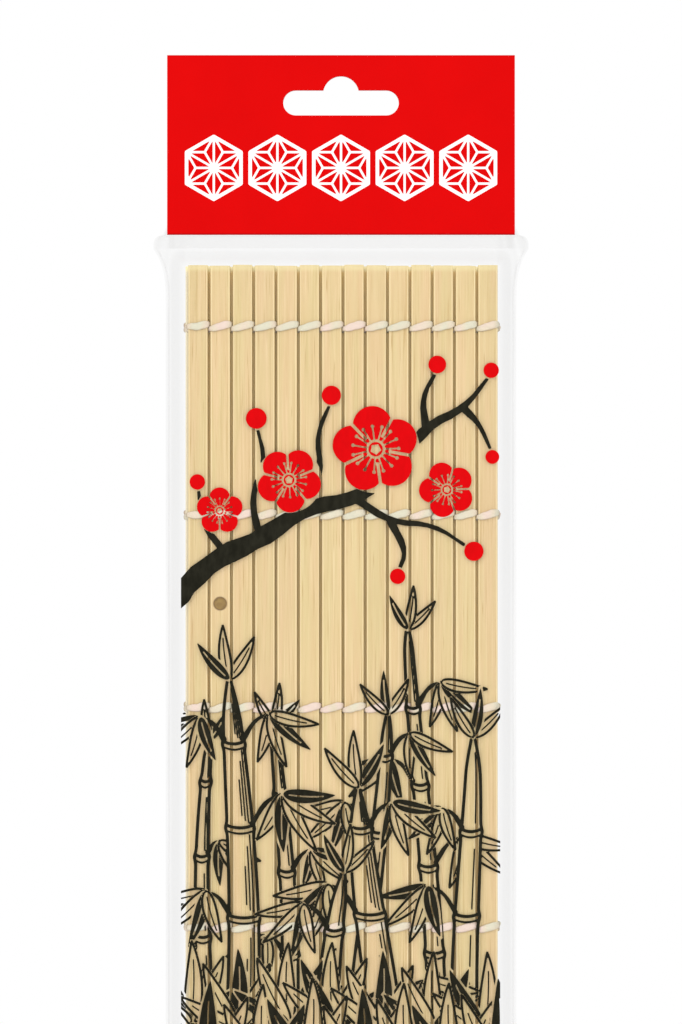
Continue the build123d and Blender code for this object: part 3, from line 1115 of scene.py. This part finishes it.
def rounded(points, widths):
    """A line with its corners cut twice, so that it bends softly, and uneven widths."""
    line = [(*point, width) for point, width in zip(points, widths)]
    for _ in range(2):
        cut = [line[0]]
        for first, second in zip(line, line[1:]):
            cut.append(tuple(0.75 * a + 0.25 * b for a, b in zip(first, second)))
            cut.append(tuple(0.25 * a + 0.75 * b for a, b in zip(first, second)))
        line = cut + [line[-1]]
    widths = [width * (1 + 0.35 * ripple(x * 0.35, z * 0.35, 3.0)) for x, z, width in line]
    return [place[:2] for place in line], widths


def blossom_distance(across, up, radius, turn):
    """A five-petalled plum blossom with clear seams, heart and stamens."""
    shape = np.full(across.shape, NO_INK)
    angles = [90 + turn + 360 / PETALS * petal for petal in range(PETALS)]
    for angle in angles:
        way = radians(angle)
        x, z = across - 0.54 * radius * cos(way), up - 0.54 * radius * sin(way)
        shape = np.minimum(shape, np.hypot(x, z) - 0.44 * radius)
    for angle in angles:
        along, beside = turned(across, up, radians(angle + 180 / PETALS))
        seam = np.maximum(np.abs(beside) - 0.035 * radius, 0.30 * radius - along)
        shape = np.maximum(shape, -seam)
        for stamen in STAMEN_ANGLES:
            along, beside = turned(across, up, radians(angle + stamen))
            stalk = bar(along, beside, 0.36 * radius, 0.14 * radius, 0.018 * radius)
            tip = np.hypot(along - 0.52 * radius, beside) - 0.042 * radius
            shape = np.maximum(shape, -np.minimum(stalk, tip))
    heart = np.abs(np.hypot(across, up) - 0.19 * radius) - 0.028 * radius
    return np.maximum(shape, -heart)


def draw_bamboo(black):
    """The stems from back to front with their leaves, and the grass before them."""
    for index, culm in enumerate(CULMS):
        draw_culm(black, culm)
        tip = culm[3] - 1.2
        heading = 96 - 14 * (index % 2)
        draw_leaves(black, culm_middle(culm, tip), tip, heading, 37, 7.5 + 1.4 * culm[2], 3, index)
        heights = culm_joints(culm)
        for _, joint, side, reach, size, count in [fan for fan in FANS if fan[0] == index]:
            z = heights[min(joint, len(heights) - 1)] + 1.2
            x = culm_middle(culm, z) + side * culm_width(culm, z)
            knee = (x + side * reach * 0.45, z + reach * 0.75)
            end = (x + side * reach, z + reach * 0.95)
            black.stroke(*rounded(((x, z), knee, end), (0.7, 0.5, 0.4)))
            draw_leaves(black, *end, side * 32 - 90, 31, size, count, index * 5.0 + joint)
    for row, (low, first_x, size) in enumerate(GRASS_ROWS):
        for number in range(GRASS_COUNT):
            seed = row * 10.0 + number
            x = first_x + number * GRASS_STEP + 2.5 * ripple(seed, 0.3, 0.0)
            z = low + 4 * ripple(seed, 5.3, 0.0)
            draw_leaves(black, x, z, 90, 27, size, 5, seed)


def draw_film_prints():
    """Black bamboo and plum branch, and the red blossoms, as two prints."""
    black = Print(PRINT_FOOT, PRINT_TOP)
    red = Print(BRANCH_FOOT, PRINT_TOP)
    draw_bamboo(black)
    black.stroke(*rounded(BOUGH, BOUGH_WIDTHS))
    for twig in TWIGS:
        black.stroke(*rounded(twig, np.linspace(1.0, 0.4, len(twig))))
    for x, z, radius, *turn in BLOSSOMS + BUDS:
        part, across, up = black.window(x, z, radius + FLOWER_REACH)
        away = np.hypot(across, up)
        black.clear(part, away - radius * BLOSSOM_CLEAR if turn else away - radius - BUD_RIM)
        part, across, up = red.window(x, z, radius + FLOWER_REACH)
        away = np.hypot(across, up)
        red.add(part, blossom_distance(across, up, radius, *turn) if turn else away - radius)
    return black, red


CARD_ROSETTES = 5
ROSETTE_RADIUS = 8.2
ROSETTE_PITCH = 16.6
ROSETTE_Z = -24.0
ROSETTE_SPACE = 12.0
ROSETTE_LINE = 0.46
ROSETTE_FINE_LINE = 0.30


def draw_card_print():
    """A row of hemp leaf rosettes in white line."""
    z = ROSETTE_Z
    white = Print(z - ROSETTE_SPACE, z + ROSETTE_SPACE)
    for number in range(CARD_ROSETTES):
        x = (number - (CARD_ROSETTES - 1) / 2) * ROSETTE_PITCH
        turns = [pi * k / 3 for k in range(6)]
        corners = [(x + ROSETTE_RADIUS * sin(t), z + ROSETTE_RADIUS * cos(t)) for t in turns]
        for first, second in zip(corners, corners[1:] + corners[:1]):
            core = ((x + first[0] + second[0]) / 3, (z + first[1] + second[1]) / 3)
            white.stroke((first, second), (ROSETTE_LINE, ROSETTE_LINE))
            for start, end in (((x, z), first), (core, (x, z)), (core, first), (core, second)):
                white.stroke((start, end), (ROSETTE_FINE_LINE, ROSETTE_FINE_LINE))
    return white


# Card

# Where the card is cut about a gap, as shares of the bend's reach
CARD_BEND_SHARES = (-1.0, -0.6, -0.3, 0.0, 0.3, 0.6, 1.0)


def cut(work, x, side=1, clear=False):
    """Cuts a mesh upright at x, and drops what lies to one side of it if asked."""
    everything = work.verts[:] + work.edges[:] + work.faces[:]
    place = {"plane_co": (x, 0, 0), "plane_no": (side, 0, 0)}
    bmesh.ops.bisect_plane(work, geom=everything, clear_outer=clear, **place)


def make_card(material):
    """The frame's folded card, cut into strips."""
    source = frame["nodes"]["header_card"].data
    for strip in range(COLUMNS + 1):
        left, right = strip_edges(strip)
        work = bmesh.new()
        work.from_mesh(source)
        bmesh.ops.remove_doubles(work, verts=work.verts, dist=0.001 * MM)
        if left is not None:
            cut(work, left, -1, clear=True)
        if right is not None:
            cut(work, right, 1, clear=True)
        if left is not None and right is not None:
            for share in CARD_BEND_SHARES:
                cut(work, gap_x[strip - 1] + share * BEND_REACH)
        for face in work.faces:
            face.smooth = False
        mesh = bpy.data.meshes.new(f"header_card_{strip:02d}")
        work.to_mesh(mesh)
        work.free()
        mesh.materials.append(material)
        keep_rest(mesh, [v.co for v in mesh.vertices])
        piece = link(mesh.name, mesh)
        attach(piece, strip, ["header_card"])


# Slats

EYED_SLAT = "slat_02"


def find_eye():
    """Place and radius of the shallow hole in the slat that has an eye."""
    points = [v.co for v in frame["nodes"][EYED_SLAT].data.vertices]
    rim = [p for p in points if MAT_BOTTOM + PITCH < p.z < MAT_TOP - PITCH]
    left, right = min(p.x for p in rim), max(p.x for p in rim)
    middle_z = (min(p.z for p in rim) + max(p.z for p in rim)) / 2
    return (left + right) / 2, middle_z, (right - left) / 2


def dress_slats():
    plain = bamboo_material("split_bamboo")
    eyed = bamboo_material("bamboo_with_eye", find_eye())
    for name, node in frame["nodes"].items():
        if name.startswith("slat_"):
            node.data.materials.clear()
            node.data.materials.append(eyed if name == EYED_SLAT else plain)


def film_front(x, z):
    return -film_rise(x, z, -1)


make_camera()
make_studio()
dress_slats()
make_card(card_material())
thread = thread_material()
make_threads(thread)
make_knots(thread)
film = film_material()
make_film("front_film", "bag_front_film", -1, film)
make_film("back_film", "bag_back_film", 1, film)
black_ink = ink_material("black_ink", (0.009, 0.0085, 0.005), (0.018, 0.017, 0.011), 0.45)
red_ink = ink_material("red_ink", (0.505, 0.0006, 0.0018), (0.560, 0.0012, 0.0028), 0.45)
white_ink = ink_material("white_ink", (0.76, 0.75, 0.74), (0.80, 0.80, 0.79), 0.4)
black_print, red_print = draw_film_prints()
black_print.make("black_print", film_front, black_ink, "film")
red_print.make("red_print", film_front, red_ink, "film")
draw_card_print().make("card_print", lambda x, z: card_low.y, white_ink, "card")
